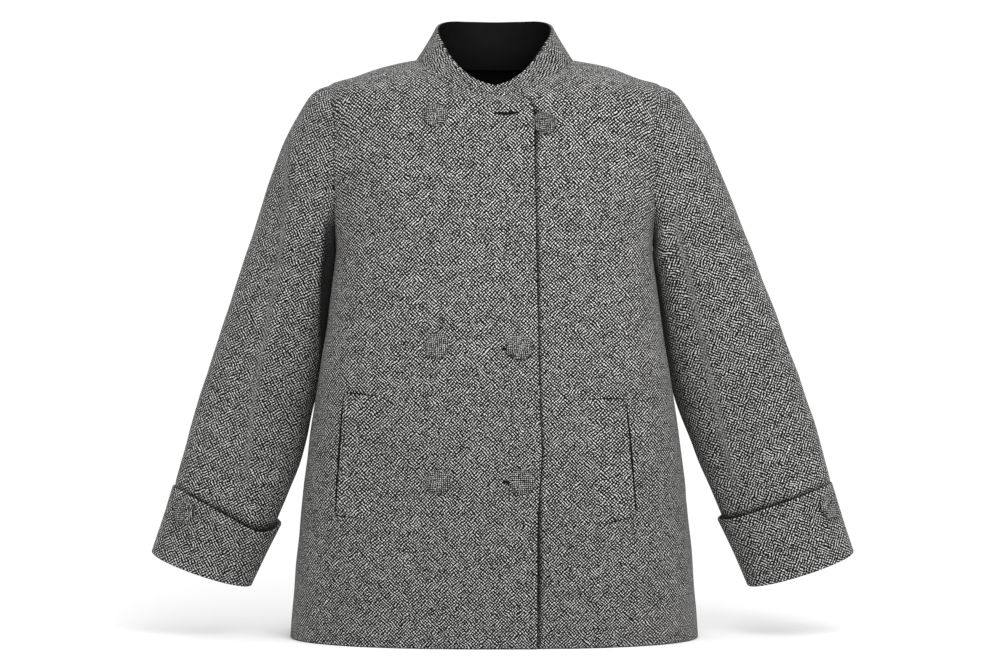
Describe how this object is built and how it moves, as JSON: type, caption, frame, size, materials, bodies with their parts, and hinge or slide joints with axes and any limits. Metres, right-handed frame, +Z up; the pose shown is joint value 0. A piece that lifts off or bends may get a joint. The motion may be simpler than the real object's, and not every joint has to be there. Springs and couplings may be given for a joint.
{
  "type": "double-breasted coat",
  "caption": "Short flared double-breasted tweed coat with a stand collar, turn-back cuffs and upright pocket welts, filled out and open at the neck, hem and cuffs.",
  "frame": {"origin": "between the shoulders, at the height where the collar meets them", "axes": "+Z up, -Y out of the coat's front, +X towards the wearer's left"},
  "size_m": [0.839, 0.343, 0.7409],
  "materials": {
    "tweed": "coarse black and off-white wool weave",
    "lining": "smooth black lining cloth"
  },
  "bodies": {
    "root": {"back": "tweed", "front_right": "tweed", "front_left": "tweed", "sleeve_right": "tweed", "sleeve_left": "tweed", "cuff_right": "tweed", "cuff_left": "tweed", "collar": "tweed", "collar_lining": "lining", "pocket_welt_right": "tweed", "pocket_welt_left": "tweed", "button_right_top": "tweed", "button_right_middle": "tweed", "button_right_bottom": "tweed", "button_left_top": "tweed", "button_left_middle": "tweed", "button_left_bottom": "tweed", "cuff_button_right": "tweed", "cuff_button_left": "tweed"}
  },
  "joints": []
}
